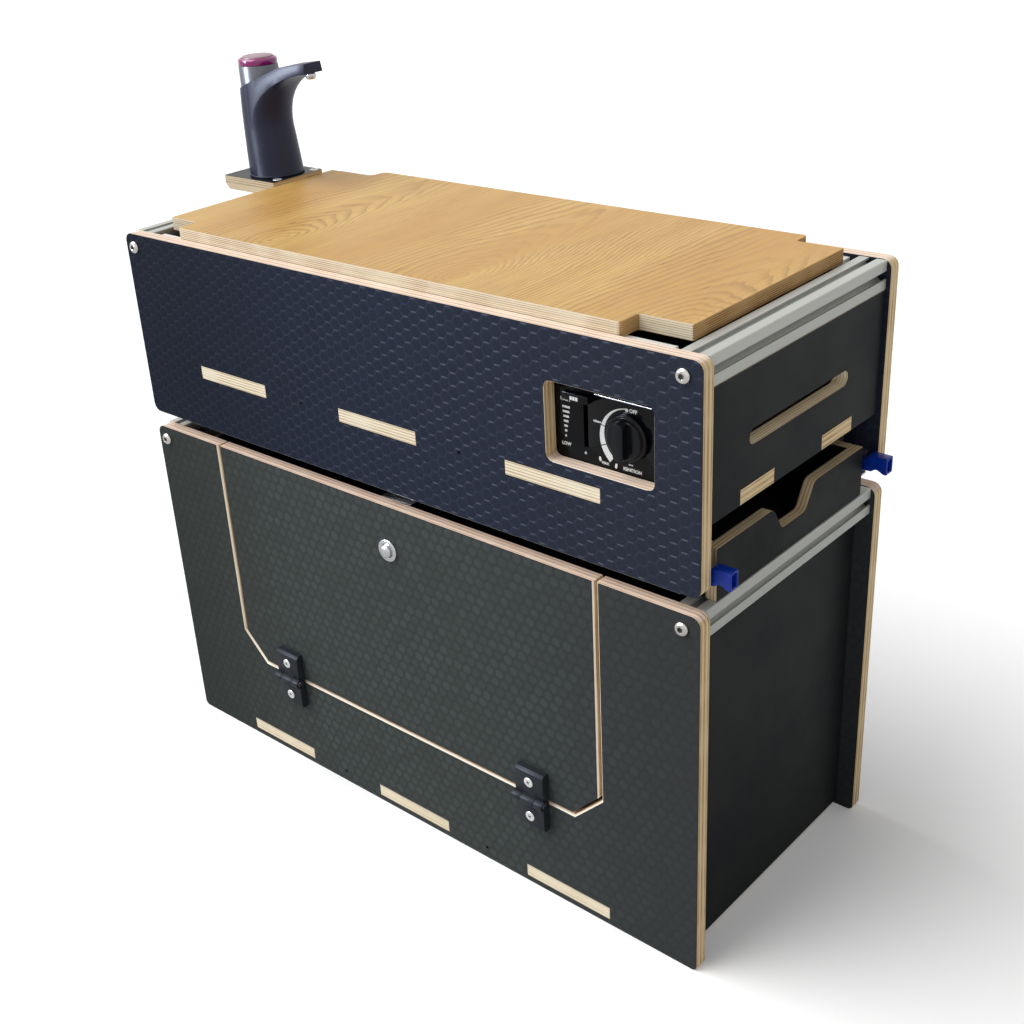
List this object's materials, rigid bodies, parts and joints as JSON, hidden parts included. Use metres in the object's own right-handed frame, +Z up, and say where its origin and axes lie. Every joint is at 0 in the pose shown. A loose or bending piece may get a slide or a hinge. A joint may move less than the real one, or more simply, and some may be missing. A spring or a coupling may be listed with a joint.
{
  "type": "campervan kitchen pod",
  "caption": "Campervan kitchen pod of dark plywood: a lower cupboard with a drop-down door and a sliding upper box with cassette stove, tap and lift-off worktop.",
  "frame": {"origin": "on the floor, in the middle of the front panel's foot", "axes": "+X along the pod to the end that the upper box slides out of, +Y from the front panel to the back panel, +Z up"},
  "size_m": [0.8798, 0.3615, 0.8262],
  "materials": {
    "dark_hexagon_ply": "navy-black phenolic film with a pressed hexagon pattern, over birch plywood",
    "green_black_hexagon_ply": "grey-green black phenolic film with a pressed hexagon pattern, over birch plywood",
    "smooth_black_ply": "smooth satin black film over birch plywood",
    "birch_ply": "bare sanded birch plywood",
    "oak_faced_ply": "satin golden oak veneer on birch plywood",
    "anodised_aluminium": "matte anodised extrusion",
    "stainless_steel": "bright stainless steel",
    "zinc_plated_steel": "zinc plated rolled sheet",
    "satin_chrome": "satin chrome plating",
    "black_plastic": "moulded black nylon with a fine grain",
    "gloss_black_enamel": "glossy black enamel on sheet steel",
    "blue_plastic": "semi-gloss blue plastic",
    "white_plastic": "white plastic strip",
    "charcoal_plastic": "semi-gloss charcoal plastic with a blue cast",
    "magenta_plastic": "clear-coated magenta plastic"
  },
  "bodies": {
    "lower_unit": {"lower_front_panel": "green_black_hexagon_ply", "lower_back_panel": "green_black_hexagon_ply", "lower_left_end_panel": "smooth_black_ply", "lower_right_end_panel": "smooth_black_ply", "lower_floor_board": "smooth_black_ply", "lower_left_bar": "anodised_aluminium", "lower_right_bar": "anodised_aluminium", "lower_front_left_bolt": "stainless_steel", "lower_front_right_bolt": "stainless_steel", "lower_back_left_bolt": "stainless_steel", "lower_back_right_bolt": "stainless_steel", "tray_floor": "smooth_black_ply", "tray_front_wall": "smooth_black_ply", "tray_back_wall": "smooth_black_ply", "tray_left_wall": "smooth_black_ply", "tray_right_wall": "smooth_black_ply", "front_slide_outer": "zinc_plated_steel", "back_slide_outer": "zinc_plated_steel", "latch_keeper": "stainless_steel", "left_hinge_body_leaf": "black_plastic", "right_hinge_body_leaf": "black_plastic", "left_hinge_pin": "stainless_steel", "right_hinge_pin": "stainless_steel"},
    "door": {"door_panel": "green_black_hexagon_ply", "left_hinge_door_leaf": "black_plastic", "right_hinge_door_leaf": "black_plastic", "lock_housing": "satin_chrome"},
    "button": {"lock_button": "satin_chrome"},
    "tongue": {"latch_tongue": "stainless_steel"},
    "slide_middle": {"front_slide_middle": "zinc_plated_steel", "back_slide_middle": "zinc_plated_steel"},
    "upper_unit": {"upper_front_panel": "dark_hexagon_ply", "upper_back_panel": "dark_hexagon_ply", "upper_left_end_panel": "smooth_black_ply", "upper_right_end_panel": "smooth_black_ply", "upper_floor_board": "smooth_black_ply", "upper_left_bar": "anodised_aluminium", "upper_right_bar": "anodised_aluminium", "upper_front_left_bolt": "stainless_steel", "upper_front_right_bolt": "stainless_steel", "upper_back_left_bolt": "stainless_steel", "upper_back_right_bolt": "stainless_steel", "front_slide_inner": "zinc_plated_steel", "back_slide_inner": "zinc_plated_steel", "front_ledge": "white_plastic", "back_ledge": "white_plastic", "tap_shelf_arm": "birch_ply", "tap_shelf_plate": "smooth_black_ply", "tap_body": "charcoal_plastic", "tap_ring": "magenta_plastic", "tap_nozzle": "satin_chrome", "stove_case": "gloss_black_enamel", "stove_burner": "stainless_steel", "stove_trivet": "gloss_black_enamel"},
    "lid": {"worktop": "oak_faced_ply"},
    "front_lever": {"front_release_lever": "blue_plastic"},
    "back_lever": {"back_release_lever": "blue_plastic"},
    "tap_switch": {"tap_button": "charcoal_plastic"},
    "knob": {"stove_knob": "black_plastic"},
    "slider": {"stove_slider": "black_plastic"}
  },
  "joints": [
    {"name": "door_hinge", "type": "hinge", "parent": "lower_unit", "child": "door", "pos_m": [0, -0.019, 0.127], "axis": [1, 0, 0], "range_deg": [0, 115]},
    {"name": "lock_press", "type": "slide", "parent": "door", "child": "button", "axis": [0, 1, 0], "range_m": [0, 0.005], "stiffness_N_per_m": 300},
    {"name": "latch_rise", "type": "slide", "parent": "door", "child": "tongue", "axis": [0, 0, 1], "range_m": [0, 0.008]},
    {"name": "upper_slide", "type": "slide", "parent": "lower_unit", "child": "upper_unit", "axis": [1, 0, 0], "range_m": [0, 0.55]},
    {"name": "middle_slide", "type": "slide", "parent": "lower_unit", "child": "slide_middle", "axis": [1, 0, 0], "range_m": [0, 0.275]},
    {"name": "worktop_lift", "type": "slide", "parent": "upper_unit", "child": "lid", "axis": [0, 0, 1], "range_m": [0, 0.1]},
    {"name": "front_lever_turn", "type": "hinge", "parent": "upper_unit", "child": "front_lever", "pos_m": [0.3725, 0.018, 0.4482], "axis": [0, 1, 0], "range_deg": [-8, 8], "stiffness_Nm_per_rad": 0.5},
    {"name": "back_lever_turn", "type": "hinge", "parent": "upper_unit", "child": "back_lever", "pos_m": [0.3725, 0.307, 0.4482], "axis": [0, 1, 0], "range_deg": [-8, 8], "stiffness_Nm_per_rad": 0.5},
    {"name": "tap_press", "type": "slide", "parent": "upper_unit", "child": "tap_switch", "axis": [0, 0, -1], "range_m": [0, 0.0015], "stiffness_N_per_m": 3000},
    {"name": "stove_knob_turn", "type": "hinge", "parent": "upper_unit", "child": "knob", "pos_m": [0.311, 0.0082, 0.5696], "axis": [0, -1, 0], "range_deg": [0, 180]},
    {"name": "stove_slider_move", "type": "slide", "parent": "upper_unit", "child": "slider", "axis": [0, 0, -1], "range_m": [0, 0.048]}
  ],
  "couplings": [
    {"joint": "latch_rise", "follows": "lock_press", "ratio": 1.6},
    {"joint": "middle_slide", "follows": "upper_slide", "ratio": 0.5}
  ]
}
